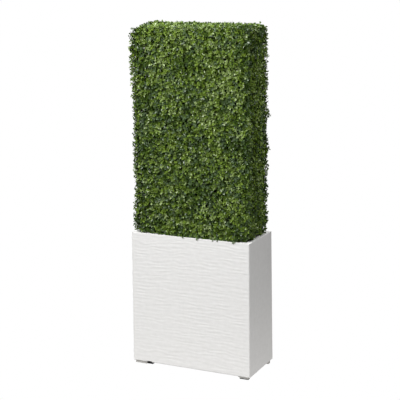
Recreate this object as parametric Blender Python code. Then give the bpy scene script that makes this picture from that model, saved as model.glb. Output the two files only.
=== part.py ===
"""Potted boxwood hedge: a tall clipped block of foliage in a narrow rectangular planter.

Metres, +Z up. The origin is on the floor, under the middle of the planter. The long front face
looks towards -Y, and the narrow ends look towards -X and +X.
"""

import math
import random

import bmesh
import bpy
from mathutils import Vector
from mathutils.bvhtree import BVHTree

# Planter
RIM_HEIGHT = 0.600
UNDERSIDE_HEIGHT = 0.010
RIM_WIDTH = 0.560
RIM_DEPTH = 0.250
BASE_WIDTH = 0.566
BASE_DEPTH = 0.264
WALL = 0.022
FLOOR_THICKNESS = 0.015
UPRIGHT_EDGE_RADIUS = 0.004
RIM_EDGE = 0.0015
BASE_EDGE_RADIUS = 0.002
FRONT_BASE_RADIUS = 0.005
ARC_STEPS = 2
BASE_STEPS = 5

# Feet, set by hand: the distance of each from the base's end, its length and its inner end's slope
FEET = {
    "front_left": (0.0097, 0.0553, 0.0),
    "front_right": (0.0085, 0.0490, 0.008),
    "back_left": (0.0005, 0.0490, 0.008),
    "back_right": (0.0005, 0.0490, 0.008),
}
FRONT_FOOT_INSET = 0.004
BACK_FOOT_INSET = 0.0315
FOOT_DEPTH = 0.018

# Rubber glides: one under a foot, and one that has slipped out
GLIDE_THICKNESS = 0.0040
GLIDE_INSET = 0.0005
SLIPPED_GLIDE_INSET = 0.0095
SLIPPED_GLIDE_LENGTH = 0.0275
SLIPPED_GLIDE_DEPTH = 0.0155
SLIPPED_GLIDE_HEIGHT = 0.0150

# Soil and stem
SOIL_HEIGHT = 0.570
STEM_TOP_HEIGHT = 0.730
STEM_TOP_RADIUS = 0.014
STEM_FOOT_RADIUS = 0.019
ROOT_FLARE = 0.013
ROOT_FLARE_HEIGHT = 0.030
STEM_LEAN = 0.010
STEM_SIDES = 10
STEM_RINGS = 8

# Clipped foliage: its outline, and the core that the twigs stand out of
HEDGE_WIDTH = 0.534
HEDGE_DEPTH = 0.220
HEDGE_TOP_HEIGHT = 1.498
TIP_REACH = 0.010
EDGE_ROUNDING = 0.016
NORMAL_BLEND = 0.035
CORE_DEPTH = 0.014
CORE_FOOT_HEIGHT = 0.588
CORE_CELL = 0.085
CORE_BUMP = 0.004
CORE_EDGE_CUT = 0.008
RIM_CLEARANCE = 0.002

# Where the clipped outline dips or bulges: a place near it, how far round that, and how much
UNEVEN = (
    ((-0.262, -0.075, 1.512), 0.036, -0.050),
    ((-0.267, -0.110, 1.360), 0.110, 0.008),
    ((-0.267, -0.110, 0.880), 0.100, 0.003),
    ((-0.267, -0.110, 0.670), 0.055, 0.008),
    ((0.258, 0.110, 1.518), 0.036, -0.026),
    ((0.267, -0.010, 0.596), 0.060, -0.012),
)

# Twigs and leaves, larger than life, so that a few hundred cover the block
SPRIG_SPACING = 0.107
SPRIG_JITTER = 0.22
SEED = 7
TWIG_SINK = 0.008
TWIG_LENGTH = 0.018
TWIG_RADIUS = 0.0045
SPRIG_LEAVES = 4
FIRST_LEAF = 0.003
LEAF_STEP = 0.0022
LEAF_LENGTH = 0.056
LEAF_WIDTH = 0.032
LEAF_THICKNESS = 0.0020
LEAF_WIDEST = 0.46
LEAF_LIFT = 0.17
LEAF_LIFT_SPREAD = 0.08
LEAF_TURN = 0.25

CLEARANCE = 0.0003

MATERIALS = {
    "mortar": ((0.80, 0.80, 0.78), 0.85),
    "rubber": ((0.02, 0.02, 0.02), 0.80),
    "soil": ((0.055, 0.038, 0.025), 1.00),
    "bark": ((0.22, 0.17, 0.12), 0.90),
    "foliage": ((0.075, 0.120, 0.030), 0.55),
}


def clear_scene():
    for obj in list(bpy.data.objects):
        bpy.data.objects.remove(obj, do_unlink=True)


def material(name):
    found = bpy.data.materials.get(name)
    if found:
        return found
    made = bpy.data.materials.new(name)
    made.use_nodes = True
    colour, roughness = MATERIALS[name]
    shader = made.node_tree.nodes["Principled BSDF"]
    shader.inputs["Base Color"].default_value = (*colour, 1.0)
    shader.inputs["Roughness"].default_value = roughness
    shader.inputs["Metallic"].default_value = 0.0
    return made


def mesh_object(name, points, faces, material_name, collection=None):
    """A new object whose faces are turned to point out."""
    mesh = bpy.data.meshes.new(name)
    mesh.from_pydata([tuple(p) for p in points], [], faces)
    mesh.materials.append(material(material_name))
    made = bpy.data.objects.new(name, mesh)
    (collection or bpy.context.scene.collection).objects.link(made)
    work = bmesh.new()
    work.from_mesh(mesh)
    bmesh.ops.recalc_face_normals(work, faces=work.faces)
    work.to_mesh(mesh)
    work.free()
    return made


def lofted(name, loops, material_name):
    """A closed body through loops of equal length, with a flat cap on the first and the last."""
    count = len(loops[0])
    points = [p for loop in loops for p in loop]
    faces = [list(range(count)), list(range(len(points) - count, len(points)))]
    for level in range(len(loops) - 1):
        start = level * count
        for i in range(count):
            j = (i + 1) % count
            faces.append([start + i, start + j, start + count + j, start + count + i])
    return mesh_object(name, points, faces, material_name)


def rounded_loop(low, high, radius, z):
    """A rectangle from low to high with its four corners rounded by short arcs."""
    centres = (
        (high[0] - radius, high[1] - radius),
        (low[0] + radius, high[1] - radius),
        (low[0] + radius, low[1] + radius),
        (high[0] - radius, low[1] + radius),
    )
    loop = []
    for quarter, (x, y) in enumerate(centres):
        for step in range(ARC_STEPS + 1):
            angle = math.pi / 2 * (quarter + step / ARC_STEPS)
            loop.append((x + radius * math.cos(angle), y + radius * math.sin(angle), z))
    return loop


def undercut(height, radius):
    """How far a quarter-round base edge lies inside the wall, at a height over the underside."""
    if height >= radius:
        return 0.0
    return radius - math.sqrt(radius**2 - (radius - height) ** 2)


def planter_loop(z, inset=0.0, rounded_base=True):
    """The planter's plan at height z: its battered walls, drawn in by the inset."""
    share = (z - UNDERSIDE_HEIGHT) / (RIM_HEIGHT - UNDERSIDE_HEIGHT)
    half_x = (BASE_WIDTH + (RIM_WIDTH - BASE_WIDTH) * share) / 2 - inset
    half_y = (BASE_DEPTH + (RIM_DEPTH - BASE_DEPTH) * share) / 2 - inset
    edge, front = 0.0, 0.0
    if rounded_base:
        height = z - UNDERSIDE_HEIGHT
        edge = undercut(height, BASE_EDGE_RADIUS)
        front = undercut(height, FRONT_BASE_RADIUS)
    low = (-half_x + edge, -half_y + front)
    high = (half_x - edge, half_y - edge)
    return rounded_loop(low, high, UPRIGHT_EDGE_RADIUS, z)


def base_heights():
    """Levels that follow the rounded base edges, closest together near the underside."""
    for step in range(BASE_STEPS):
        angle = math.pi / 2 * step / BASE_STEPS
        yield UNDERSIDE_HEIGHT + FRONT_BASE_RADIUS * (1 - math.cos(angle))


def make_planter():
    inner_floor = UNDERSIDE_HEIGHT + FLOOR_THICKNESS
    loops = [planter_loop(z) for z in base_heights()]
    loops.append(planter_loop(UNDERSIDE_HEIGHT + FRONT_BASE_RADIUS))
    loops.append(planter_loop(RIM_HEIGHT - RIM_EDGE))
    loops.append(planter_loop(RIM_HEIGHT, RIM_EDGE))
    loops.append(planter_loop(RIM_HEIGHT, WALL - RIM_EDGE))
    loops.append(planter_loop(RIM_HEIGHT - RIM_EDGE, WALL))
    loops.append(planter_loop(inner_floor, WALL, rounded_base=False))
    planter = lofted("planter", loops, "mortar")
    low, high = slipped_glide_span()
    notch = box(
        "notch",
        (low[0] - CLEARANCE, -BASE_DEPTH, 0.0),
        [far + CLEARANCE for far in high],
        "rubber",
    )
    cut(planter, notch)


def box(name, low, high, material_name, slope=(0.0, 0.0)):
    """A block whose underside is drawn in by the slopes at its -X and +X ends."""
    x_low, x_high = low[0] + slope[0], high[0] - slope[1]
    points = [(x, y, low[2]) for x in (x_low, x_high) for y in (low[1], high[1])]
    points += [(x, y, high[2]) for x in (low[0], high[0]) for y in (low[1], high[1])]
    faces = [(0, 1, 3, 2), (4, 5, 7, 6), (0, 1, 5, 4), (2, 3, 7, 6), (0, 2, 6, 4), (1, 3, 7, 5)]
    return mesh_object(name, points, faces, material_name)


def cut(target, cutter):
    """Takes the cutter out of the target, for good."""
    modifier = target.modifiers.new("cut", "BOOLEAN")
    modifier.operation = "DIFFERENCE"
    modifier.solver = "EXACT"
    modifier.object = cutter
    apply_modifiers(target)
    bpy.data.objects.remove(cutter, do_unlink=True)


def apply_modifiers(target):
    graph = bpy.context.evaluated_depsgraph_get()
    result = bpy.data.meshes.new_from_object(target.evaluated_get(graph))
    target.modifiers.clear()
    target.data = result


def foot_span(name):
    """Where a foot lies in plan: its low and its high corner."""
    row, side = name.split("_")
    end_inset, length, slope = FEET[name]
    outer = BASE_WIDTH / 2 - end_inset
    low_x = -outer if side == "left" else outer - length
    low_y = -BASE_DEPTH / 2 + FRONT_FOOT_INSET
    if row == "back":
        low_y = BASE_DEPTH / 2 - BACK_FOOT_INSET - FOOT_DEPTH
    return (low_x, low_y), (low_x + length, low_y + FOOT_DEPTH)


def slipped_glide_span():
    """The low and high corner of the glide that has slipped out beside the front left foot."""
    start = foot_span("front_left")[1][0] + CLEARANCE
    front = -BASE_DEPTH / 2 + SLIPPED_GLIDE_INSET
    high = (start + SLIPPED_GLIDE_LENGTH, front + SLIPPED_GLIDE_DEPTH, SLIPPED_GLIDE_HEIGHT)
    return (start, front, 0.0), high


def make_feet():
    """Four low blocks, the front right one on its rubber glide."""
    top = UNDERSIDE_HEIGHT - CLEARANCE
    for name, (end_inset, length, inner_slope) in FEET.items():
        low, high = foot_span(name)
        slope = (0.0, inner_slope) if name.endswith("left") else (inner_slope, 0.0)
        bottom = 0.0
        if name == "front_right":
            bottom = GLIDE_THICKNESS + CLEARANCE
            glide_low = (low[0] + slope[0] + GLIDE_INSET, low[1] + GLIDE_INSET, 0.0)
            glide_high = (high[0] - GLIDE_INSET, high[1] - GLIDE_INSET, GLIDE_THICKNESS)
            box(f"glide_{name}", glide_low, glide_high, "rubber")
        box(f"foot_{name}", (*low, bottom), (*high, top), "mortar", slope)
    box("glide_front_left", *slipped_glide_span(), "rubber")


def make_soil():
    inset = WALL + CLEARANCE
    bottom = UNDERSIDE_HEIGHT + FLOOR_THICKNESS + CLEARANCE
    loops = [planter_loop(z, inset, rounded_base=False) for z in (bottom, SOIL_HEIGHT)]
    lofted("soil", loops, "soil")


def stem_loops(growth):
    """Rings up the stem, with its root flare, taper and lean. The growth is added all round."""
    start = SOIL_HEIGHT + CLEARANCE
    loops = []
    for ring in range(STEM_RINGS):
        share = (ring / (STEM_RINGS - 1)) ** 2
        height = share * (STEM_TOP_HEIGHT - start)
        flare = ROOT_FLARE * max(0.0, 1 - height / ROOT_FLARE_HEIGHT) ** 2
        radius = STEM_FOOT_RADIUS + (STEM_TOP_RADIUS - STEM_FOOT_RADIUS) * share + flare + growth
        loops.append([])
        for i in range(STEM_SIDES):
            angle = math.tau * i / STEM_SIDES
            x = radius * math.cos(angle) + STEM_LEAN * share
            loops[-1].append((x, radius * math.sin(angle), start + height))
    if growth:
        loops.append([(x, y, z + growth) for x, y, z in loops[-1]])
    return loops


def crown_half():
    """Half the clipped block's size, from its foot to its top, without the tips' reach."""
    height = HEDGE_TOP_HEIGHT - CORE_FOOT_HEIGHT
    return Vector((HEDGE_WIDTH / 2, HEDGE_DEPTH / 2, height / 2))


def crown_middle():
    return Vector((0.0, 0.0, (HEDGE_TOP_HEIGHT + CORE_FOOT_HEIGHT) / 2))


def unevenness(point):
    """How far the clipped outline stands out near a point, or lies back."""
    total = 0.0
    for place, radius, amount in UNEVEN:
        total += amount * math.exp(-(((point - Vector(place)).length / radius) ** 2))
    return total


def inside_space(point):
    """Whether a point keeps to the crown's space: a box with rounded edges, over the rim."""
    half = crown_half() + Vector((TIP_REACH + unevenness(point),) * 3)
    offset = point - crown_middle()
    past = [max(abs(offset[i]) - half[i] + EDGE_ROUNDING, 0.0) for i in range(3)]
    return Vector(past).length <= EDGE_ROUNDING and point.z >= RIM_HEIGHT + RIM_CLEARANCE


def outward(point):
    """The way out of the block at a point near its surface, turned evenly round its edges."""
    half = crown_half()
    offset = point - crown_middle()
    way = Vector((0.0, 0.0, 0.0))
    for i in range(3):
        past = max(abs(offset[i]) - half[i] + NORMAL_BLEND, 0.0)
        way[i] = math.copysign(past, offset[i])
    way.z = max(way.z, 0.0)
    return way.normalized()


def core_axis(low, high):
    count = max(2, round((high - low) / CORE_CELL))
    return [low + (high - low) * i / count for i in range(count + 1)]


def make_core(rng):
    """The block inside the leaves: a grid on all sides, uneven where it shows, flat beneath."""
    half = crown_half() - Vector((CORE_DEPTH,) * 3)
    top = HEDGE_TOP_HEIGHT - CORE_DEPTH
    axes = [
        core_axis(-half.x, half.x),
        core_axis(-half.y, half.y),
        core_axis(CORE_FOOT_HEIGHT, top),
    ]
    last = [len(axis) - 1 for axis in axes]
    index, points, faces = {}, [], []

    def corner(i, j, k):
        if (i, j, k) not in index:
            at = Vector((axes[0][i], axes[1][j], axes[2][k]))
            edges = (i in (0, last[0])) + (j in (0, last[1])) + (k == last[2])
            if k:
                bump = rng.uniform(-CORE_BUMP, CORE_BUMP) - CORE_EDGE_CUT * (edges - 1)
                at += outward(at) * (bump + unevenness(at))
            index[i, j, k] = len(points)
            points.append(at)
        return index[i, j, k]

    for fixed in range(3):
        a, b = [axis for axis in range(3) if axis != fixed]
        for level in (0, last[fixed]):
            for i in range(last[a]):
                for j in range(last[b]):
                    face = []
                    for di, dj in ((0, 0), (1, 0), (1, 1), (0, 1)):
                        place = [0, 0, 0]
                        place[fixed], place[a], place[b] = level, i + di, j + dj
                        face.append(corner(*place))
                    faces.append(face)
    return mesh_object("clipped_foliage", points, faces, "foliage")


def twig(collection, root, up):
    """A three-sided twig that tapers to a point."""
    side = up.orthogonal().normalized()
    other = up.cross(side)
    foot = root - up * TWIG_SINK
    points = []
    for i in range(3):
        angle = math.tau * i / 3
        points.append(foot + (side * math.cos(angle) + other * math.sin(angle)) * TWIG_RADIUS)
    points.append(root + up * TWIG_LENGTH)
    faces = [(0, 1, 2), (0, 1, 3), (1, 2, 3), (2, 0, 3)]
    mesh_object("twig", points, faces, "foliage", collection)


def leaf(collection, root, along, up):
    """A leaf of eight faces, or nothing where it would leave the crown's space."""
    side = along.cross(up).normalized()
    face = side.cross(along)
    middle = root + along * LEAF_LENGTH * LEAF_WIDEST
    points = [
        root,
        middle + side * LEAF_WIDTH / 2,
        root + along * LEAF_LENGTH,
        middle - side * LEAF_WIDTH / 2,
        middle + face * LEAF_THICKNESS / 2,
        middle - face * LEAF_THICKNESS / 2,
    ]
    if not all(inside_space(p) for p in points[1:]):
        return
    faces = [(i, (i + 1) % 4, 4) for i in range(4)] + [(i, (i + 1) % 4, 5) for i in range(4)]
    mesh_object("leaf", points, faces, "foliage", collection)


def sprig(collection, root, rng):
    """A twig with leaves in opposite pairs, each pair a quarter turn from the one below it."""
    up = outward(root)
    across = up.orthogonal().normalized()
    other = up.cross(across)
    turn = rng.uniform(0.0, math.tau)
    twig(collection, root, up)
    for i in range(SPRIG_LEAVES):
        pair, second = divmod(i, 2)
        angle = turn + math.pi * second + math.pi / 2 * pair + rng.uniform(-LEAF_TURN, LEAF_TURN)
        flat = across * math.cos(angle) + other * math.sin(angle)
        lift = LEAF_LIFT + rng.uniform(-LEAF_LIFT_SPREAD, LEAF_LIFT_SPREAD)
        start = root + up * (FIRST_LEAF + LEAF_STEP * i)
        leaf(collection, start, (flat + up * lift).normalized(), up)


def sprig_places(rng):
    """Places on a jittered grid over the block's four sides and its top."""
    half = crown_half() - Vector((CORE_DEPTH,) * 3)
    low_z = RIM_HEIGHT + RIM_CLEARANCE
    high_z = HEDGE_TOP_HEIGHT - CORE_DEPTH
    spans = ((-half.x, half.x), (-half.y, half.y), (low_z, high_z))
    for fixed, levels in ((1, spans[1]), (0, spans[0]), (2, spans[2][1:])):
        a, b = [axis for axis in range(3) if axis != fixed]
        for level in levels:
            counts = [max(1, round((spans[k][1] - spans[k][0]) / SPRIG_SPACING)) for k in (a, b)]
            for i in range(counts[0]):
                for j in range(counts[1]):
                    at = Vector((0.0, 0.0, 0.0))
                    at[fixed] = level
                    for axis, count, step in ((a, counts[0], i), (b, counts[1], j)):
                        low, high = spans[axis]
                        share = (step + 0.5 + rng.uniform(-SPRIG_JITTER, SPRIG_JITTER)) / count
                        at[axis] = low + (high - low) * share
                    yield at


def fuse(target, collection):
    """Joins a collection's shapes to the target for good, and removes them."""
    modifier = target.modifiers.new("fuse", "BOOLEAN")
    modifier.operation = "UNION"
    modifier.solver = "EXACT"
    modifier.operand_type = "COLLECTION"
    modifier.collection = collection
    apply_modifiers(target)
    for obj in list(collection.objects):
        bpy.data.objects.remove(obj, do_unlink=True)
    bpy.data.collections.remove(collection)


def keep_main_body(target):
    """Drops loose scraps, and fills hollows that fusing sealed."""
    work = bmesh.new()
    work.from_mesh(target.data)
    unseen = set(work.faces)
    bodies = []
    while unseen:
        front = [unseen.pop()]
        body = list(front)
        while front:
            face = front.pop()
            for edge in face.edges:
                for neighbour in edge.link_faces:
                    if neighbour in unseen:
                        unseen.remove(neighbour)
                        front.append(neighbour)
                        body.append(neighbour)
        bodies.append(body)
    bodies.sort(key=len)
    for body in bodies[:-1]:
        bmesh.ops.delete(work, geom=body, context="FACES")
    work.to_mesh(target.data)
    work.free()


def make_foliage():
    rng = random.Random(SEED)
    core = make_core(rng)
    surface = BVHTree.FromObject(core, bpy.context.evaluated_depsgraph_get())
    stem_space = lofted("stem_space", stem_loops(CLEARANCE), "bark")
    cut(core, stem_space)
    sprays = bpy.data.collections.new("sprays")
    bpy.context.scene.collection.children.link(sprays)
    for place in sprig_places(rng):
        root = surface.find_nearest(place)[0]
        sprig(sprays, root, rng)
    fuse(core, sprays)
    keep_main_body(core)


def main():
    clear_scene()
    make_planter()
    make_feet()
    make_soil()
    lofted("stem", stem_loops(0.0), "bark")
    make_foliage()


main()
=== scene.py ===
"""Looks of the potted boxwood hedge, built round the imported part.

Metres, in the part's own frame: the origin is on the floor under the planter's middle, +Z is up,
and the long front face looks towards -Y.
"""

import itertools
import math
from collections import namedtuple

import bpy
import numpy as np
from mathutils import Matrix, Vector


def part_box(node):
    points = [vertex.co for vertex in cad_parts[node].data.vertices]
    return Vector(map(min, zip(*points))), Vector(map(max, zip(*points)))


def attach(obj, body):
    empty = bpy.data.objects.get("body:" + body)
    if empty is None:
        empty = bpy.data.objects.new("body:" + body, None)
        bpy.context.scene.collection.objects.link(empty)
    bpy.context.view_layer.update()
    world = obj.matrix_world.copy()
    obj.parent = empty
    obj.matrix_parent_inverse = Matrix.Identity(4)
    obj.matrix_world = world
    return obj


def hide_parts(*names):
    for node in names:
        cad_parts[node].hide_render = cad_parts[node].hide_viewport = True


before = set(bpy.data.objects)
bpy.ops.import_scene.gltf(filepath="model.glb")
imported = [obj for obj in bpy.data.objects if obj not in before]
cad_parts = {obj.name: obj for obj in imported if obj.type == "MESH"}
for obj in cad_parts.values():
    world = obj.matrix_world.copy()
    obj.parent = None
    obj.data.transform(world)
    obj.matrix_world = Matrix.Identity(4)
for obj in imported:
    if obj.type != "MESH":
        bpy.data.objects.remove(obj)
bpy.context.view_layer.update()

# The camera, fitted to the planter's corners and the hedge's edges in the photo
IMAGE_SIDE = 400
SENSOR = 36.0
FOCAL_PIXELS = 1077.8
CAMERA_PLACE = Vector((1.9835, -4.1299, 1.7301))
CAMERA_YAW = math.radians(25.709)
CAMERA_PITCH = math.radians(12.181)
CAMERA_ROLL = math.radians(-0.797)

# Soft lights: the way to each from the place they aim at, its distance, its size and its power
AIM = Vector((0.0, 0.0, 0.8))
LIGHTS = {
    "key": ((-0.38, -0.66, 0.66), 3.6, 0.9, 146.0),
    "overhead": ((0.10, 0.14, 0.98), 2.8, 1.4, 55.0),
    "fill": ((0.80, -0.55, 0.27), 3.2, 1.8, 44.0),
    "back": ((-0.45, 0.80, 0.30), 3.4, 1.8, 70.0),
}

# The white studio: its tint, how bright it is above and below the horizon, and the floor's glow
AMBIENT = (1.0, 0.985, 0.965)
SKY = 0.01
BELOW_FLOOR = 0.02
HORIZON_BLEND = 0.02
FLOOR_GLOW = 0.66
FLOOR_RADIUS = 1.0
FLOOR_SIDES = 64

# Heights read from the frame
RIM_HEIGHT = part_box("planter")[1].z
UNDERSIDE_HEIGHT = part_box("planter")[0].z
SOIL_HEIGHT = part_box("soil")[1].z
STEM_FOOT_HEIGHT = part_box("stem")[0].z
STEM_TOP_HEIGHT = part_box("stem")[1].z

# Planter, as in the part's source
RIM_WIDTH = 0.560
RIM_DEPTH = 0.250
BASE_WIDTH = 0.566
BASE_DEPTH = 0.264
WALL = 0.022
FLOOR_THICKNESS = 0.015
UPRIGHT_EDGE_RADIUS = 0.004
RIM_EDGE = 0.0015
BASE_EDGE_RADIUS = 0.002
FRONT_BASE_RADIUS = 0.005
CLEARANCE = 0.0003

# The notch in the planter's base, round the glide that has slipped out beside its foot
GLIDE_LOW, GLIDE_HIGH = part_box("glide_front_left")
NOTCH_START = GLIDE_LOW.x - CLEARANCE
NOTCH_LENGTH = GLIDE_HIGH.x + CLEARANCE - NOTCH_START
NOTCH_DEPTH = GLIDE_HIGH.y + CLEARANCE + BASE_DEPTH / 2
NOTCH_HEIGHT = GLIDE_HIGH.z + CLEARANCE
SHARP_STEP = 1e-4

# The planter's mesh: finer than the comb's ridges, with rows close together round the base's edge
FACE_COLUMNS = 94
END_COLUMNS = 44
CORNER_STEPS = 4
ROW_HEIGHT = 0.0022
BASE_ROWS = (0.0, 0.00015, 0.0006, 0.0014, 0.0024)
RIM_TURNS = (0, 30, 60, 90)
SHOULDER_HEIGHT = RIM_HEIGHT - RIM_EDGE
INNER_ROWS = (RIM_HEIGHT - 0.010, SOIL_HEIGHT - 0.005, UNDERSIDE_HEIGHT + FLOOR_THICKNESS)

# Combed mortar. Layers of noise are weights, each with its size of cell along the face and upwards
RIDGE_SPACING = 0.0162
RIDGE_DEPTH = 0.00054
RIDGE_POWER = 1.3
RIDGE_SWAY = ((0.34, (0.062, 0.024)), (0.24, (0.034, 0.012)))
RIDGE_DRIFT = ((0.6, (0.30, 0.11)),)
RIDGE_STRENGTH = 0.34
RIDGE_STRENGTH_CHANGE = ((0.44, (0.042, 0.018)),)
STROKES = ((0.45, (0.036, 0.0080)), (0.28, (0.018, 0.0056)))
END_RIDGE_SHARE = 0.20
STREAK_DEPTH = 0.00024
STREAKS = ((0.6, (0.015, 0.20)), (0.4, (0.03, 0.06)))
CORNER_FADE = 0.010
CORNER_SHARE = 0.35
RIM_FADE = 0.004

# Compost: its surface lies a little below the solid's top, and crumbs stand up from it
SOIL_GAP = 0.0006
SOIL_CELL = 0.004
SOIL_DROP = 0.0026
SOIL_DEPTH = 0.06
CRUMBS = ((0.0016, (0.011, 0.011)), (0.0010, (0.005, 0.005)))

# Stem, as in the part's source
STEM_TOP_RADIUS = 0.014
STEM_FOOT_RADIUS = 0.019
ROOT_FLARE = 0.013
ROOT_FLARE_HEIGHT = 0.030
STEM_LEAN = 0.010

# The stem's bark, on a finer mesh than the source's
STEM_SIDES = 36
STEM_RINGS = 60
FURROW_CELL = (0.0045, 0.0045, 0.022)
PLATE_CELL = (0.007, 0.007, 0.05)
PLATE_SHARE = 0.5
FURROW_DEPTH = 0.0009
BARK_INSET = 0.0008
BARK_NOISE_RADIUS = 0.02

# Clipped foliage, as in the part's source
HEDGE_WIDTH = 0.534
HEDGE_DEPTH = 0.220
HEDGE_TOP_HEIGHT = 1.498
TIP_REACH = 0.010
EDGE_ROUNDING = 0.016
CORE_FOOT_HEIGHT = 0.588
NORMAL_BLEND = 0.035
SEED = 7

# Every layer of noise and every run of chance has its own seed, and the sprigs and boughs have SEED
COMB_SEED = SEED
STREAK_SEED = SEED + 6
WANDER_SEED = SEED + 10
CRUMB_SEED = SEED + 20
FURROW_SEED = SEED + 30
PLATE_SEED = SEED + 31
PATCH_SEED = SEED + 40
SHADE_SEED = SEED + 50
RIM_LEAF_SEED = SEED + 60
SKIRT_SEED = SEED + 61
SKIRT_COLOUR_SEED = SEED + 62

# Where the clipped outline dips or bulges: a place on it, how far round that, and how much. Six of
# these are in the part's source too, and the others are finer or slighter
UNEVEN = (
    ((-0.262, -0.075, 1.512), 0.036, -0.050),
    ((-0.267, -0.110, 1.470), 0.016, 0.007),
    ((-0.267, -0.110, 1.360), 0.110, 0.008),
    ((-0.267, -0.110, 1.090), 0.060, -0.003),
    ((-0.267, -0.110, 0.670), 0.055, 0.008),
    ((-0.267, -0.110, 0.880), 0.100, 0.003),
    ((0.258, 0.110, 1.518), 0.036, -0.026),
    ((0.200, 0.110, 1.498), 0.080, -0.003),
    ((0.238, 0.110, 1.498), 0.008, 0.010),
    ((0.267, 0.110, 1.356), 0.012, 0.007),
    ((0.267, 0.110, 1.215), 0.014, -0.009),
    ((0.267, 0.110, 1.188), 0.010, 0.006),
    ((0.267, 0.110, 1.112), 0.016, 0.025),
    ((0.267, 0.110, 1.136), 0.012, 0.008),
    ((0.267, 0.110, 1.064), 0.020, -0.005),
    ((0.267, 0.110, 0.975), 0.016, 0.008),
    ((0.267, 0.110, 0.899), 0.012, 0.008),
    ((0.267, 0.110, 0.861), 0.010, 0.006),
    ((0.267, 0.110, 0.765), 0.014, 0.007),
    ((0.267, -0.010, 0.596), 0.060, -0.012),
    ((0.267, 0.100, 0.600), 0.035, -0.010),
    ((0.266, 0.110, 1.488), 0.022, 0.010),
    ((-0.267, -0.110, 1.478), 0.012, 0.010),
    ((0.267, 0.110, 0.925), 0.012, -0.006),
    ((-0.267, -0.110, 1.246), 0.030, 0.004),
    ((-0.267, -0.110, 1.110), 0.060, 0.002),
    ((-0.240, 0.110, 1.498), 0.050, 0.008),
    ((0.050, 0.0, 1.498), 0.200, 0.002),
)

# The foliage's foot: how high its lowest leaves hang over the rim at places along it, between which
# depths that fades out, and how far the foot stands out, or lies back where it hangs highest
RIM_CLEARANCE = 0.001
FOOT_PLACES = (-0.270, -0.255, -0.240, -0.200, -0.150, 0.226, 0.242, 0.270)
FOOT_LIFTS = (0.006, 0.0045, 0.0015, 0.001, 0.0, 0.0, 0.009, 0.011)
FOOT_LIFT_DEPTHS = (-0.080, -0.065)
LEAST_LIFT = 1e-4
FOOT_BULGE = 0.005
FOOT_BULGE_HEIGHT = 0.030
FOOT_SET_BACK = 0.005

# Sprigs: many more than the source has, on a jittered grid
SPRIG_SPACING = 0.0120
SPRIG_JITTER = 0.45
LOWEST_SPRIG = 0.004
SPRIG_ROUNDING = 0.6 * EDGE_ROUNDING
TIP_DEPTH = 0.0032
TIP_DEPTH_SPREAD = 0.0032
TIP_DEPTH_LIMITS = (-0.003, 0.022)
TOP_EXTRA_DEPTH = 0.0052
WANDER = ((0.0025, (0.09, 0.09, 0.09)),)
TIP_SPREAD = 0.0015
AXIS_SPREAD = 0.006
GATHER = 0.55

# Sprigs that missed the shears and stand out of the clipped outline
STRAY_SPRIGS = (
    (0.238, 0.104, 1.499),
    (0.262, 0.090, 1.116),
    (-0.262, -0.104, 1.400),
    (0.262, 0.100, 0.968),
)
STRAY_REACH = 0.008

# Life-size leaves in opposite pairs, from a sprig's tip downwards
PAIR_STEPS = (0.0, 0.0046, 0.0100, 0.0165)
PAIR_OPENINGS = (0.70, 0.98, 1.15, 1.28)
PAIR_SIZES = (0.82, 1.0, 1.05, 1.0)
OPENING_SPREAD = 0.16
TURN_SPREAD = 0.28
ROLL_SPREAD = 0.35
SIZE_SPREAD = 0.12
SIZE_LIMITS = (0.6, 1.3)
LEAF_LENGTH = 0.0124
LEAF_WIDTH = 0.0081
LEAF_CUP = 0.20
CUP_SHARES = (0.2, 1.6)
LEAF_DROOP = 0.16
DROOP_SHARES = (0.2, 1.8)
LEAF_SIDES = ((0.18, 0.60), (0.50, 1.0), (0.84, 0.70))
LEAF_MIDDLE = 0.52

# Leaves that hang over the front rim: where along it, and the share of a leaf's length
RIM_LEAVES = (
    (-0.031, 0.80),
    (0.037, 0.95),
    (0.043, 0.70),
    (0.112, 0.75),
    (0.134, 0.70),
    (0.207, 1.00),
    (0.213, 0.75),
)
RIM_LEAF_SET_BACK = (0.001, 0.002)
RIM_LEAF_RISE = (0.0035, 0.0055)
RIM_LEAF_ASIDE = 0.35
RIM_LEAF_FORWARD = (-0.62, -0.50)
RIM_LEAF_DOWN = -0.80
RIM_LEAF_FACING = (0.0, -0.6, 0.8)
RIM_LEAF_CUP = 0.10

# Leaves that lie out over the rim: across which axis, on which side, and from where to where
SKIRTS = (
    (1, -1.0, -0.240, 0.230),
    (1, 1.0, -0.250, 0.250),
    (0, 1.0, -0.060, 0.050),
    (0, -1.0, -0.060, 0.100),
)
SKIRT_SPACING = 0.003
SKIRT_REACH = 0.003
SKIRT_RISE = (0.002, 0.008)
SKIRT_ASIDE = 0.8
SKIRT_DROP = (-0.6, 0.2)
SKIRT_LEAN = 0.5
SKIRT_SIZES = (0.75, 1.05)
SKIRT_CUP = 0.15
SKIRT_SHARES = (0.45, 0.3, 0.25)

# Twigs: an open tube of three sides with a pointed end
TWIG_SIDES = 3
TWIG_RADIUS = 0.0009
TWIG_FOOT_SHARE = 1.3
TWIG_END = 0.002
TWIG_BEND = 0.0025

# Branchlets: one to each cell of a coarse grid, from a bough near it
BRANCHLET_SPACING = 0.046
BRANCHLET_DEPTH = 0.044
BRANCHLET_STEPS = 6
BRANCHLET_SIDES = 4
BRANCHLET_RADII = (0.0021, 0.0012)
BRANCHLET_WAY = 0.4
BRANCHLET_RISE = 0.01
BRANCHLET_END = 0.02
BRANCHLET_LEAST_RISE = 0.02
DOWNWARD_COST = 0.5

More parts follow.
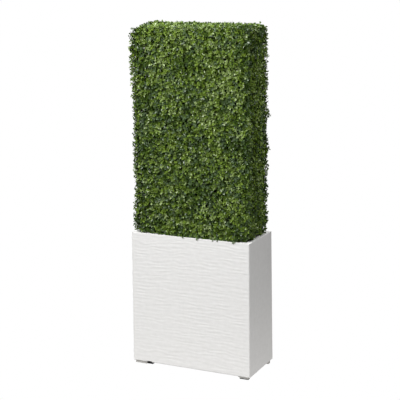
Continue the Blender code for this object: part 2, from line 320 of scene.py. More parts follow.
# Boughs: from along the stem to places under the leaves
BOUGH_DEPTH = 0.040
BOUGH_TOP_GAP = 0.05
BOUGH_COLUMNS = 5
BOUGH_ROWS = 4
BOUGH_FIRST_ROW = 0.6
BOUGH_JITTER = 0.3
END_BOUGH_SPREAD = 0.4
TOP_BOUGH_SPREAD = 0.5
BOUGH_STARTS = (0.35, 1.0)
BOUGH_FIRST_WAY = (0.25, 0.10, 0.45)
BOUGH_LAST_WAY = (0.30, 0.55, 0.20)
BOUGH_STEPS = 12
BOUGH_BARE_STEPS = 4
BOUGH_SIDES = 6
BOUGH_BEND = 0.004
BOUGH_GROWTH = 0.0062
BOUGH_TIP_RADIUS = 0.0016
BOUGH_TAPER = 0.8
WOOD_SHAKE = 0.0012
TUBE_ASIDE = (0.31, 0.17, 0.93)

# The dark mass of old leaves inside, coloured with painted shade
SHADE_DEPTH = 0.050
SHADE_CELL = 0.024
SHADE_LUMPS = (0.03, 0.03, 0.03)
SHADE_BUMP = 0.006

# Leaf colours as they are without light on them, the share of the sprays that has each, and how
# strongly its leaves shine
LEAF_COLOURS = {
    "deep": ((0.043, 0.082, 0.009), 0.17, 0.25),
    "bluish": ((0.076, 0.125, 0.047), 0.20, 0.45),
    "mid": ((0.110, 0.180, 0.020), 0.25, 0.40),
    "yellowish": ((0.163, 0.253, 0.028), 0.24, 0.50),
    "pale": ((0.225, 0.312, 0.090), 0.14, 0.60),
}
# The share of the two inner pairs whose leaves are one colour darker: older leaves, and painted shade
# deeper in the spray
OLD_SHADED_LEAF_SHARE = 0.5
LEAF_RELIEF = 0.00012
LEAF_RELIEF_SCALE = 620.0
LEAF_TONE_SCALE = 150.0
LEAF_TONES = (0.90, 1.10)
LEAF_ROUGHNESS = 0.40
LEAF_ROUGHNESS_RANGE = (0.35, 0.45)
GLOSS_SCALE = 90.0
GLOSS_NOISE_RANGE = (0.3, 0.7)

# How the colours are dealt out: layers of noise, chance, painted light that lightens the sprays higher up,
# and patches seen in the photo and painted shade at an upright edge of the block, each with its place,
# its radius, and how much lighter its sprays are
PATCHES = ((0.08, (0.11, 0.11, 0.10)), (0.26, (0.030, 0.030, 0.026)))
SPRAY_CHANCE = 0.28
PAINTED_LIGHT_UPWARDS = 0.05
PAINTED_SHADE_CORNERS = (((0.271, -0.106), 0.018, -0.32),)
TONE_PATCHES = (
    ((0.170, -0.110, 1.268), 0.060, 0.30),
    ((0.051, -0.110, 1.121), 0.045, 0.25),
    ((-0.106, -0.110, 1.450), 0.070, 0.14),
    ((-0.206, -0.110, 0.991), 0.040, -0.35),
    ((-0.059, -0.110, 1.087), 0.035, -0.30),
    ((0.060, -0.110, 0.782), 0.038, -0.40),
    ((-0.140, -0.110, 0.753), 0.035, -0.35),
    ((-0.206, -0.110, 1.344), 0.040, -0.30),
    ((-0.025, -0.110, 1.348), 0.030, -0.30),
    ((0.203, -0.110, 1.009), 0.040, -0.25),
    ((-0.211, -0.110, 1.149), 0.030, -0.25),
    ((0.046, -0.110, 1.480), 0.030, -0.25),
    ((0.240, -0.110, 1.364), 0.035, -0.25),
    ((-0.262, -0.110, 1.485), 0.035, -0.35),
    ((0.267, 0.080, 1.480), 0.040, -0.35),
    ((-0.205, -0.110, 0.610), 0.045, -0.30),
)


def value_noise(places, cell, seed):
    """Smooth noise from -1 to 1 at each place, with its own size of cell along each axis."""
    places = np.asarray(places, float) / np.asarray(cell, float)
    whole = np.floor(places).astype(int)
    first = whole.min(axis=0)
    lattice = np.random.default_rng(seed).uniform(-1.0, 1.0, whole.max(axis=0) - first + 2)
    share = places - whole
    share = share * share * (3.0 - 2.0 * share)
    whole -= first
    total = np.zeros(len(places))
    for corner in itertools.product((0, 1), repeat=places.shape[1]):
        weight = np.where(np.array(corner, bool), share, 1.0 - share).prod(axis=1)
        total += weight * lattice[tuple((whole + np.array(corner)).T)]
    return total


def layered_noise(places, layers, seed):
    """The sum of layers of noise, each with its weight and its size of cell."""
    return sum(weight * value_noise(places, cell, seed + i) for i, (weight, cell) in enumerate(layers))


def unit(vectors):
    return vectors / np.maximum(np.linalg.norm(vectors, axis=-1, keepdims=True), 1e-9)


def ring_quads(rings, sides):
    """Quads between each ring of points and the next."""
    index = np.arange(rings * sides).reshape(rings, sides)
    after = np.roll(index, -1, axis=1)
    return np.stack((index[:-1], after[:-1], after[1:], index[1:]), axis=-1).reshape(-1, 4)


def grid_quads(index):
    """Quads between the points of a grid, from the array of the points' numbers."""
    corners = (index[:-1, :-1], index[1:, :-1], index[1:, 1:], index[:-1, 1:])
    return np.stack(corners, axis=-1).reshape(-1, 4)


def joined(parts):
    """Points and faces of several parts, each a pair of both, as those of one."""
    points, faces = zip(*parts)
    starts = np.cumsum([0] + [len(group) for group in points[:-1]])
    return np.concatenate(points), np.concatenate([group + start for group, start in zip(faces, starts)])


def with_spots(total, points, spots):
    """The total with soft spots added, each with its place, its radius and its amount."""
    for place, radius, amount in spots:
        gap = np.linalg.norm(points - np.array(place), axis=-1)
        total = total + amount * np.exp(-((gap / radius) ** 2))
    return total


def placed(name, data):
    """A new object in the scene."""
    made = bpy.data.objects.new(name, data)
    bpy.context.scene.collection.objects.link(made)
    return made


def mesh_piece(name, points, faces, finish, replaced):
    """A piece from arrays of points and of faces, which may have different numbers of corners."""
    mesh = bpy.data.meshes.new(name)
    points = np.asarray(points, np.float32).reshape(-1, 3)
    groups = [np.asarray(group, np.int32) for group in faces]
    counts = np.concatenate([np.full(len(group), group.shape[1]) for group in groups])
    corners = np.concatenate([group.ravel() for group in groups])
    mesh.vertices.add(len(points))
    mesh.vertices.foreach_set("co", points.ravel())
    mesh.loops.add(len(corners))
    mesh.loops.foreach_set("vertex_index", corners)
    mesh.polygons.add(len(counts))
    mesh.polygons.foreach_set("loop_start", np.concatenate(([0], np.cumsum(counts)[:-1])))
    mesh.polygons.foreach_set("use_smooth", np.full(len(counts), True))
    mesh.update(calc_edges=True)
    mesh.validate()
    mesh.materials.append(finish)
    piece = placed(name, mesh)
    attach(piece, "root")
    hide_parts(*replaced)
    return piece


# Materials

MOTTLE_STOPS = (0.35, 0.65)
EVEN = (1.0, 1.0, 1.0)


def material(name, colour, roughness):
    made = bpy.data.materials.new(name)
    made.use_nodes = True
    shader = made.node_tree.nodes["Principled BSDF"]
    shader.inputs["Base Color"].default_value = (*colour, 1.0)
    shader.inputs["Roughness"].default_value = roughness
    shader.inputs["Metallic"].default_value = 0.0
    return made


def remapped(tree, source, first, second):
    """An output that runs over the second range as the source runs over the first."""
    node = tree.nodes.new("ShaderNodeMapRange")
    for socket, value in zip(("From Min", "From Max", "To Min", "To Max"), (*first, *second)):
        node.inputs[socket].default_value = value
    tree.links.new(source, node.inputs["Value"])
    return node.outputs["Result"]


def noise_on(made, scale, detail, stretch=EVEN):
    """A noise node of the material, laid out in the object's own metres."""
    nodes, links = made.node_tree.nodes, made.node_tree.links
    place = nodes.new("ShaderNodeTexCoord")
    mapping = nodes.new("ShaderNodeMapping")
    mapping.inputs["Scale"].default_value = stretch
    noise = nodes.new("ShaderNodeTexNoise")
    noise.inputs["Scale"].default_value = scale
    noise.inputs["Detail"].default_value = detail
    links.new(place.outputs["Object"], mapping.inputs["Vector"])
    links.new(mapping.outputs["Vector"], noise.inputs["Vector"])
    return noise


def mottled(made, darker, lighter, scale, detail=4.0, stretch=EVEN):
    """Lets noise run the base colour from the darker colour to the lighter."""
    nodes, links = made.node_tree.nodes, made.node_tree.links
    noise = noise_on(made, scale, detail, stretch)
    ramp = nodes.new("ShaderNodeValToRGB")
    for stop, colour, position in zip(ramp.color_ramp.elements, (darker, lighter), MOTTLE_STOPS):
        stop.color = (*colour, 1.0)
        stop.position = position
    links.new(noise.outputs["Fac"], ramp.inputs["Fac"])
    links.new(ramp.outputs["Color"], nodes["Principled BSDF"].inputs["Base Color"])


def bumped(made, height, scale, detail=6.0, stretch=EVEN):
    """Adds fine relief from noise, its height in metres."""
    nodes, links = made.node_tree.nodes, made.node_tree.links
    noise = noise_on(made, scale, detail, stretch)
    bump = nodes.new("ShaderNodeBump")
    bump.inputs["Distance"].default_value = height
    bump.inputs["Strength"].default_value = 1.0
    links.new(noise.outputs["Fac"], bump.inputs["Height"])
    links.new(bump.outputs["Normal"], nodes["Principled BSDF"].inputs["Normal"])


def leaf_material(name, colour, shine):
    """A leathery leaf: a little lighter and darker in places, with uneven gloss and fine relief."""
    made = material(name, colour, LEAF_ROUGHNESS)
    darker, lighter = [tuple(share * part for part in colour) for share in LEAF_TONES]
    mottled(made, darker, lighter, LEAF_TONE_SCALE, detail=2.0)
    bumped(made, LEAF_RELIEF, LEAF_RELIEF_SCALE, detail=2.0)
    nodes, links = made.node_tree.nodes, made.node_tree.links
    nodes["Principled BSDF"].inputs["Specular IOR Level"].default_value = shine
    noise = noise_on(made, scale=GLOSS_SCALE, detail=2.0)
    gloss = remapped(made.node_tree, noise.outputs["Fac"], GLOSS_NOISE_RANGE, LEAF_ROUGHNESS_RANGE)
    links.new(gloss, nodes["Principled BSDF"].inputs["Roughness"])
    return made


MORTAR = material("white_mortar", colour=(0.802, 0.797, 0.786), roughness=0.85)
mottled(MORTAR, darker=(0.787, 0.782, 0.770), lighter=(0.817, 0.812, 0.802), scale=55.0)
bumped(MORTAR, height=0.00025, scale=420.0)
# Painted shade: the feet are the planter's mortar, darkened to the shade under its base
FOOT_MORTAR_PAINTED_SHADE = material("foot_mortar_painted_shade", colour=(0.42, 0.41, 0.39), roughness=0.9)
mottled(FOOT_MORTAR_PAINTED_SHADE, darker=(0.36, 0.35, 0.33), lighter=(0.48, 0.47, 0.45), scale=120.0)
bumped(FOOT_MORTAR_PAINTED_SHADE, height=0.0003, scale=420.0)
RUBBER = material("black_rubber", colour=(0.011, 0.011, 0.011), roughness=0.75)
mottled(RUBBER, darker=(0.008, 0.008, 0.008), lighter=(0.015, 0.015, 0.0145), scale=300.0)
bumped(RUBBER, height=0.0002, scale=900.0)
SOIL = material("moist_compost", colour=(0.045, 0.031, 0.021), roughness=0.95)
mottled(SOIL, darker=(0.020, 0.013, 0.008), lighter=(0.085, 0.058, 0.038), scale=160.0)
bumped(SOIL, height=0.0015, scale=260.0)
BARK = material("boxwood_bark", colour=(0.20, 0.165, 0.12), roughness=0.9)
mottled(BARK, darker=(0.13, 0.10, 0.07), lighter=(0.29, 0.245, 0.185), scale=90.0, stretch=(1, 1, 0.25))
bumped(BARK, height=0.0008, scale=500.0, stretch=(1, 1, 0.35))
YOUNG_BARK = material("twig_bark", colour=(0.12, 0.105, 0.055), roughness=0.8)
mottled(YOUNG_BARK, darker=(0.085, 0.078, 0.036), lighter=(0.16, 0.138, 0.078), scale=140.0)
bumped(YOUNG_BARK, height=0.0002, scale=700.0)
# Painted shade: the inner leaves take the darkness of the shade deep in the foliage
INNER_SHADE = material("inner_leaves_painted_shade", colour=(0.013, 0.024, 0.004), roughness=0.95)
mottled(INNER_SHADE, darker=(0.008, 0.016, 0.003), lighter=(0.020, 0.034, 0.006), scale=60.0)
bumped(INNER_SHADE, height=0.004, scale=130.0)
LEAF_MATERIALS = {
    name: leaf_material(f"leaf_{name}", colour, shine)
    for name, (colour, share, shine) in LEAF_COLOURS.items()
}


# Planter


def planter_columns():
    """Places round the planter's plan, each as a share of the straight sides and a way out."""
    sides = (
        ((-1, -1), (1, -1), (0, -1), FACE_COLUMNS, -90),
        ((1, -1), (1, 1), (1, 0), END_COLUMNS, 0),
        ((1, 1), (-1, 1), (0, 1), FACE_COLUMNS, 90),
        ((-1, 1), (-1, -1), (-1, 0), END_COLUMNS, 180),
    )
    columns = []
    half = BASE_WIDTH / 2 - UPRIGHT_EDGE_RADIUS
    for start, end, way, count, angle in sides:
        shares = [i / count for i in range(count + 1)]
        if way == (0, -1):
            for edge in (NOTCH_START, NOTCH_START + NOTCH_LENGTH):
                shares += [(edge + step + half) / (2 * half) for step in (-SHARP_STEP, SHARP_STEP)]
            shares.sort()
        for share in shares:
            at = [a + (b - a) * share for a, b in zip(start, end)]
            columns.append((*at, *way))
        for step in range(1, CORNER_STEPS):
            turn = math.radians(angle + 90 * step / CORNER_STEPS)
            columns.append((*end, math.cos(turn), math.sin(turn)))
    return np.array(columns, float)


def undercut(height, radius):
    """How far a quarter-round base edge lies inside the wall, at a height over the underside."""
    if height >= radius:
        return 0.0
    return radius - math.sqrt(radius**2 - (radius - height) ** 2)


def planter_loop(columns, z, inset=0.0):
    """The planter's outline at a height, drawn in by an inset."""
    height = z - UNDERSIDE_HEIGHT
    share = height / (RIM_HEIGHT - UNDERSIDE_HEIGHT)
    half_x = (BASE_WIDTH + (RIM_WIDTH - BASE_WIDTH) * share) / 2 - inset
    half_y = (BASE_DEPTH + (RIM_DEPTH - BASE_DEPTH) * share) / 2 - inset
    edge = undercut(height, BASE_EDGE_RADIUS)
    front = undercut(height, FRONT_BASE_RADIUS)
    middle_y = (front - edge) / 2
    straight = (half_x - edge - UPRIGHT_EDGE_RADIUS, half_y - (front + edge) / 2 - UPRIGHT_EDGE_RADIUS)
    x = columns[:, 0] * straight[0] + columns[:, 2] * UPRIGHT_EDGE_RADIUS
    y = columns[:, 1] * straight[1] + columns[:, 3] * UPRIGHT_EDGE_RADIUS + middle_y
    return np.stack((x, y, np.full(len(columns), z)), axis=1)


def comb_relief(places):
    """Wavy ridges from a comb drawn sideways through wet mortar, mostly between -1 and 1."""
    sway = layered_noise(places, RIDGE_SWAY, COMB_SEED)
    drift = layered_noise(places, RIDGE_DRIFT, COMB_SEED + 2)
    phase = math.tau * (places[:, 1] / RIDGE_SPACING + sway + drift)
    ridge = 1.0 - 2.0 * np.abs(np.sin(phase / 2)) ** RIDGE_POWER
    strength = RIDGE_STRENGTH + layered_noise(places, RIDGE_STRENGTH_CHANGE, COMB_SEED + 3)
    return ridge * strength + layered_noise(places, STROKES, COMB_SEED + 4)


def mortar_relief(columns, rows):
    """How far the mortar stands out of the planter's even faces, for each row and column."""
    nominal = planter_loop(columns, RIM_HEIGHT)
    steps = np.linalg.norm(np.roll(nominal, -1, axis=0) - nominal, axis=1)
    along = np.tile(np.concatenate(([0.0], np.cumsum(steps)[:-1])), len(rows))
    places = np.stack((along, np.repeat(rows, len(columns))), axis=1)
    ridges = comb_relief(places).reshape(len(rows), -1)
    # Faint upright streaks, only on the end faces
    streaks = layered_noise(places, STREAKS, STREAK_SEED).reshape(len(rows), -1)
    facing = columns[:, 3] ** 2 + END_RIDGE_SHARE * columns[:, 2] ** 2
    to_corner = (1.0 - np.abs(columns[:, 0])) * RIM_WIDTH / 2
    to_corner += (1.0 - np.abs(columns[:, 1])) * RIM_DEPTH / 2
    facing = facing * np.clip(CORNER_SHARE + (1 - CORNER_SHARE) * to_corner / CORNER_FADE, 0.0, 1.0)
    under_rim = np.clip((RIM_HEIGHT - np.array(rows)) / RIM_FADE, 0.0, 1.0)[:, None]
    over_base = np.clip((np.array(rows) - UNDERSIDE_HEIGHT) / RIM_FADE, 0.0, 1.0)[:, None]
    relief = ridges * RIDGE_DEPTH * facing + streaks * STREAK_DEPTH * columns[:, 2] ** 2
    return relief * (under_rim * over_base)


def face_loops(columns):
    """Loops up the planter's faces, with the mortar's relief."""
    rows = [UNDERSIDE_HEIGHT + step for step in BASE_ROWS]
    count = round((SHOULDER_HEIGHT - rows[-1]) / ROW_HEIGHT)
    rows += [rows[-1] + (SHOULDER_HEIGHT - rows[-1]) * (i + 1) / count for i in range(count)]
    loops = np.array([planter_loop(columns, z) for z in rows])
    loops[:, :, :2] += mortar_relief(columns, rows)[:, :, None] * columns[:, 2:]
    return loops


def rim_loops(columns):
    """Loops over the rim, round its outer edge and then its inner one."""
    edge = []
    for angle in map(math.radians, RIM_TURNS):
        edge.append((SHOULDER_HEIGHT + RIM_EDGE * math.sin(angle), RIM_EDGE * (1 - math.cos(angle))))
    outer = [planter_loop(columns, z, inset) for z, inset in edge[1:]]
    inner = [planter_loop(columns, z, WALL - inset) for z, inset in reversed(edge)]
    return outer + inner


def notch_loops(columns, notched):
    """Two loops of the underside behind the notch, which make its upright back."""
    loops = []
    for inset, height in ((NOTCH_DEPTH + SHARP_STEP, UNDERSIDE_HEIGHT), (NOTCH_DEPTH, NOTCH_HEIGHT)):
        loop = planter_loop(columns, UNDERSIDE_HEIGHT)
        loop[:, 1] = np.maximum(loop[:, 1], -BASE_DEPTH / 2 + inset)
        loop[notched, 2] = height
        loops.append(loop)
    return loops


def make_planter():
    columns = planter_columns()
    faced = face_loops(columns)
    from_middle = np.abs(faced[0, :, 0] - NOTCH_START - NOTCH_LENGTH / 2)
    notched = (columns[:, 3] == -1) & (from_middle < NOTCH_LENGTH / 2)
    faced[:, notched, 2] = np.maximum(faced[:, notched, 2], NOTCH_HEIGHT)
    inner = [planter_loop(columns, z, WALL) for z in INNER_ROWS]
    loops = [*notch_loops(columns, notched), *faced, *rim_loops(columns), *inner]
    quads = ring_quads(len(loops), len(columns))
    ring = np.arange(len(columns))
    top_of_floor = (len(loops) - 1) * len(columns) + ring
    faces = [quads, top_of_floor[None, :], ring[None, ::-1]]
    piece = mesh_piece("planter_combed", np.concatenate(loops), faces, MORTAR, ["planter"])
    # The floor's top and the underside
    for flat in (-2, -1):
        piece.data.polygons[flat].use_smooth = False


def make_soil():
    """The compost's crumbly top, with the block under it."""
    halves = [size / 2 - WALL - SOIL_GAP for size in (RIM_WIDTH, RIM_DEPTH)]
    xs, ys = [np.linspace(-half, half, round(2 * half / SOIL_CELL) + 1) for half in halves]
    x, y = [axis.ravel() for axis in np.meshgrid(xs, ys, indexing="ij")]
    crumbs = layered_noise(np.stack((x, y), axis=1), CRUMBS, CRUMB_SEED)
    top = np.stack((x, y, SOIL_HEIGHT - SOIL_DROP + crumbs), axis=1)
    index = np.arange(len(top)).reshape(len(xs), len(ys))
    border = np.concatenate((index[:-1, 0], index[-1, :-1], index[:0:-1, -1], index[0, :0:-1]))
    foot = top[border].copy()
    foot[:, 2] = SOIL_HEIGHT - SOIL_DEPTH
    ring = len(top) + np.arange(len(border))
    walls = np.stack((ring, np.roll(ring, -1), np.roll(border, -1), border), axis=1)
    faces = [np.concatenate((grid_quads(index), walls)), ring[None, ::-1]]
    mesh_piece("compost", np.concatenate((top, foot)), faces, SOIL, ["soil"])


# Stem


def make_stem():
    shares = np.linspace(0.0, 1.0, STEM_RINGS)
    height = shares * (STEM_TOP_HEIGHT - STEM_FOOT_HEIGHT)
    flare = ROOT_FLARE * np.maximum(0.0, 1 - height / ROOT_FLARE_HEIGHT) ** 2
    radius = STEM_FOOT_RADIUS + (STEM_TOP_RADIUS - STEM_FOOT_RADIUS) * shares + flare
    angles = np.arange(STEM_SIDES) * math.tau / STEM_SIDES
    around = np.tile(np.stack((np.cos(angles), np.sin(angles)), axis=1), (STEM_RINGS, 1))
    places = np.column_stack((around * BARK_NOISE_RADIUS, np.repeat(height, STEM_SIDES)))
    furrows = value_noise(places, FURROW_CELL, FURROW_SEED)
    furrows -= PLATE_SHARE * np.abs(value_noise(places, PLATE_CELL, PLATE_SEED))
    relief = FURROW_DEPTH * furrows.reshape(STEM_RINGS, STEM_SIDES) - BARK_INSET
    reach = radius[:, None] + relief
    x = reach * np.cos(angles) + (STEM_LEAN * shares)[:, None]
    y = reach * np.sin(angles)
    z = np.broadcast_to((STEM_FOOT_HEIGHT + height)[:, None], x.shape)
    points = np.stack((x, y, z), axis=-1).reshape(-1, 3)
    foot = np.arange(STEM_SIDES)
    top = foot + (STEM_RINGS - 1) * STEM_SIDES
    faces = [ring_quads(STEM_RINGS, STEM_SIDES), top[None, :], foot[None, ::-1]]
    mesh_piece("stem_bark", points, faces, BARK, ["stem"])


# The crown's space

CROWN_HALF = np.array((HEDGE_WIDTH, HEDGE_DEPTH, HEDGE_TOP_HEIGHT - CORE_FOOT_HEIGHT)) / 2
CROWN_MIDDLE = np.array((0.0, 0.0, (HEDGE_TOP_HEIGHT + CORE_FOOT_HEIGHT) / 2))


def unevenness(points):
    """How far the clipped outline stands out near each point, or lies back."""
    total = with_spots(np.zeros(points.shape[:-1]), points, UNEVEN)
    near_foot = np.clip(1.0 - (points[..., 2] - RIM_HEIGHT) / FOOT_BULGE_HEIGHT, 0.0, 1.0)
    lift = foot_lift(points)
    return total + near_foot * (FOOT_BULGE - (FOOT_BULGE + FOOT_SET_BACK) * lift / max(FOOT_LIFTS))


def foot_lift(points):
    """How high the foliage's foot hangs over the rim, which is only so at the front's two ends."""
    lift = np.interp(points[..., 0], FOOT_PLACES, FOOT_LIFTS)
    return lift * np.interp(points[..., 1], FOOT_LIFT_DEPTHS, (1.0, 0.0))


def inside_space(points):
    """Whether points keep to the crown's space, over the rim or inside the planter's opening."""
    half = CROWN_HALF + TIP_REACH + unevenness(points)[..., None]
    past = np.maximum(np.abs(points - CROWN_MIDDLE) - half + EDGE_ROUNDING, 0.0)
    inside = np.linalg.norm(past, axis=-1) <= EDGE_ROUNDING
    over_rim = points[..., 2] >= RIM_HEIGHT + RIM_CLEARANCE + foot_lift(points)
    return inside & (over_rim | in_opening(points))


def in_opening(points):
    """Whether points lie inside the planter's walls, as seen from above."""
    across = np.abs(points[..., 0]) < RIM_WIDTH / 2 - WALL - RIM_CLEARANCE
    return across & (np.abs(points[..., 1]) < RIM_DEPTH / 2 - WALL - RIM_CLEARANCE)


def laid_on_rim(points):
    """Bends the leaves that would dip into the planter's rim, so that they lie on it."""
    foot = RIM_HEIGHT + RIM_CLEARANCE + foot_lift(points)
    rooted_over = points[:, :1, 2] >= foot[:, :1]
    low = rooted_over & ~in_opening(points) & (foot_lift(points) < LEAST_LIFT)
    points[..., 2] = np.where(low, np.maximum(points[..., 2], foot), points[..., 2])
    return points


def outward(points):
    """The way out of the block near its surface, turned evenly round its edges."""
    offset = points - CROWN_MIDDLE
    past = np.maximum(np.abs(offset) - CROWN_HALF + NORMAL_BLEND, 0.0)
    way = np.copysign(past, offset)
    way[..., 2] = np.maximum(way[..., 2], 0.0)
    return unit(way)


def sprig_places(rng):
    """Places on the clipped outline, on a jittered grid over its four sides and its top."""
    x, y = CROWN_HALF[:2]
    spans = ((-x, x), (-y, y), (RIM_HEIGHT + LOWEST_SPRIG, HEDGE_TOP_HEIGHT))
    found = []
    for fixed, levels in ((1, spans[1]), (0, spans[0]), (2, spans[2][1:])):
        a, b = [axis for axis in range(3) if axis != fixed]
        for level in levels:
            counts = [round((spans[k][1] - spans[k][0]) / SPRIG_SPACING) for k in (a, b)]
            i, j = [g.ravel() for g in np.meshgrid(*[np.arange(c) for c in counts], indexing="ij")]
            at = np.zeros((len(i), 3))
            at[:, fixed] = level
            for axis, count, step in ((a, counts[0], i), (b, counts[1], j)):
                low, high = spans[axis]
                share = (step + 0.5 + rng.uniform(-SPRIG_JITTER, SPRIG_JITTER, len(step))) / count
                at[:, axis] = low + (high - low) * share
            found.append(at)
    return np.concatenate(found)


def pulled_in(points):
    """Draws places in the block's sharp edges back to its rounded outline."""
    offset = points - CROWN_MIDDLE
    inner = CROWN_HALF - SPRIG_ROUNDING
    past = np.maximum(np.abs(offset) - inner, 0.0)
    past[offset[:, 2] < 0, 2] = 0.0
    length = np.linalg.norm(past, axis=1)
    scale = np.minimum(1.0, SPRIG_ROUNDING / np.maximum(length, 1e-9))[:, None]
    drawn = np.copysign(np.minimum(np.abs(offset), inner) + past * scale, offset)
    low = offset[:, 2] < 0
    drawn[low, 2] = offset[low, 2]
    return drawn + CROWN_MIDDLE


# Leaves

# Arrays with a row for each sprig: its two ends, its way and two ways across it, the colour of its
# leaves, and whether it stands out of the outline
Sprigs = namedtuple("Sprigs", "feet tips axis across other groups stray")


def leaf_template():
    """A leaf of eight faces round a point on its rib, for a length and a width of 1."""
    points = [(0.0, 0.0)] + [(x, w / 2) for x, w in LEAF_SIDES] + [(1.0, 0.0)]
    points += [(x, -w / 2) for x, w in reversed(LEAF_SIDES)] + [(LEAF_MIDDLE, 0.0)]
    rim = len(points) - 1
    return np.array(points), np.array([(i, (i + 1) % rim, rim) for i in range(rim)])


def leaves_at(roots, along, up, size, cup, droop):
    """Points of one leaf at each root, cupped across and curved down along its length."""
    flat = leaf_template()[0]
    side = unit(np.cross(up, along))
    up = np.cross(along, side)
    length, width = LEAF_LENGTH * size, LEAF_WIDTH * size
    x = flat[None, :, 0] * length[:, None]
    y = flat[None, :, 1] * width[:, None]
    z = cup[:, None] * np.abs(y) - droop[:, None] * flat[None, :, 0] ** 2 * length[:, None]
    points = roots[:, None] + x[..., None] * along[:, None] + y[..., None] * side[:, None]
    return points + z[..., None] * up[:, None]


def colour_groups(places, rng):
    """Which colour each spray has: patches, painted light upwards, painted shade at an edge, and chance.
    """
    mix = layered_noise(places, PATCHES, PATCH_SEED)
    # Painted light: sprays higher up are dealt lighter colours
    mix += PAINTED_LIGHT_UPWARDS * (places[:, 2] - CROWN_MIDDLE[2]) / CROWN_HALF[2]
    mix = with_spots(mix, places, TONE_PATCHES)
    # Painted shade: sprays near the front right upright edge are dealt darker colours
    mix = with_spots(mix, places[:, :2], PAINTED_SHADE_CORNERS)
    mix += rng.normal(0.0, SPRAY_CHANCE, len(places))
    order = np.argsort(np.argsort(mix)) / len(mix)
    edges = np.cumsum([share for colour, share, shine in LEAF_COLOURS.values()])
    return np.minimum(np.searchsorted(edges / edges[-1], order), len(LEAF_COLOURS) - 1)


def sprig_leaves(sprigs, rng):
    """The sprigs' leaves that keep to the crown's space or are on stray ones, and their colours."""
    tips, axis, across, other = sprigs.tips, sprigs.axis, sprigs.across, sprigs.other
    count = len(tips)
    batches, batch_groups = [], []
    for pair, (step, opening, size) in enumerate(zip(PAIR_STEPS, PAIR_OPENINGS, PAIR_SIZES)):
        for second in (0.0, math.pi):
            angle = math.pi / 2 * pair + second + rng.normal(0.0, TURN_SPREAD, count)
            radial = across * np.cos(angle)[:, None] + other * np.sin(angle)[:, None]
            opened = opening + rng.normal(0.0, OPENING_SPREAD, count)
            along = axis * np.cos(opened)[:, None] + radial * np.sin(opened)[:, None]
            up = unit(axis * np.sin(opened)[:, None] - radial * np.cos(opened)[:, None])
            roll = rng.normal(0.0, ROLL_SPREAD, count)
            up = up * np.cos(roll)[:, None] + np.cross(up, along) * np.sin(roll)[:, None]
            grown = size * (1.0 + rng.normal(0.0, SIZE_SPREAD, count)).clip(*SIZE_LIMITS)
            roots = tips - axis * (step * grown)[:, None]
            cup = LEAF_CUP * rng.uniform(*CUP_SHARES, count)
            droop = LEAF_DROOP * rng.uniform(*DROOP_SHARES, count)
            points = laid_on_rim(leaves_at(roots, along, up, grown, cup, droop))
            kept = inside_space(points).all(axis=1) | sprigs.stray
            # Inner pairs one colour darker: older leaves, and painted shade deeper in the spray
            old_and_shaded = (pair >= len(PAIR_STEPS) / 2) & (rng.uniform(0.0, 1.0, count) < OLD_SHADED_LEAF_SHARE)
            batches.append(points[kept])
            batch_groups.append(np.maximum(sprigs.groups - old_and_shaded, 0)[kept])
    return np.concatenate(batches), np.concatenate(batch_groups)


def leaves_over_rim(rng):
    """Leaves of the lowest sprays that hang over the planter's front rim, clear of it."""
    places, sizes = np.array(RIM_LEAVES).T
    count = len(places)
    roots = np.zeros((count, 3))
    roots[:, 0] = places
    roots[:, 1] = -RIM_DEPTH / 2 + rng.uniform(*RIM_LEAF_SET_BACK, count)
    roots[:, 2] = RIM_HEIGHT + rng.uniform(*RIM_LEAF_RISE, count)
    along = np.zeros((count, 3))
    along[:, 0] = rng.uniform(-RIM_LEAF_ASIDE, RIM_LEAF_ASIDE, count)
    along[:, 1] = rng.uniform(*RIM_LEAF_FORWARD, count)
    along[:, 2] = RIM_LEAF_DOWN
    along = unit(along)
    up = unit(np.cross(along, np.cross(RIM_LEAF_FACING, along)))
    level = np.full(count, RIM_LEAF_CUP)
    return leaves_at(roots, along, up, sizes, level, level)


def skirt_leaves(rng):
    """Leaves of the lowest sprays that lie out over the rim, along its four sides."""
    batches = []
    for axis, side, start, end in SKIRTS:
        count = round((end - start) / SKIRT_SPACING)
        roots = np.zeros((count, 3))
        roots[:, 1 - axis] = np.linspace(start, end, count) + rng.uniform(-0.5, 0.5, count) * SKIRT_SPACING
        roots[:, axis] = side * (CROWN_HALF[axis] + rng.uniform(0.0, SKIRT_REACH, count))
        roots[:, 2] = RIM_HEIGHT + rng.uniform(*SKIRT_RISE, count)
        along = np.zeros((count, 3))
        along[:, 1 - axis] = rng.uniform(-SKIRT_ASIDE, SKIRT_ASIDE, count)
        along[:, axis] = side
        along[:, 2] = rng.uniform(*SKIRT_DROP, count)
        along = unit(along)
        lean = rng.uniform(-SKIRT_LEAN, SKIRT_LEAN, (count, 3)) + (0.0, 0.0, 1.0)
        up = unit(np.cross(along, np.cross(lean, along)))
        sizes = rng.uniform(*SKIRT_SIZES, count)
        level = np.full(count, SKIRT_CUP)
        batches.append(leaves_at(roots, along, up, sizes, level, level))
    skirt = laid_on_rim(np.concatenate(batches))
    return skirt[inside_space(skirt).all(axis=1)]


def make_leaves(leaves, groups):
    """One piece for each colour, from the points of all leaves and the colour of each."""
    template = leaf_template()[1]
    for number, name in enumerate(LEAF_COLOURS):
        chosen = leaves[groups == number]
        first = np.arange(len(chosen))[:, None, None] * chosen.shape[1]
        faces = (first + template[None]).reshape(-1, 3)
        mesh_piece(
            f"leaves_{name}", chosen, [faces], LEAF_MATERIALS[name], ["clipped_foliage"]
        )


# Wood


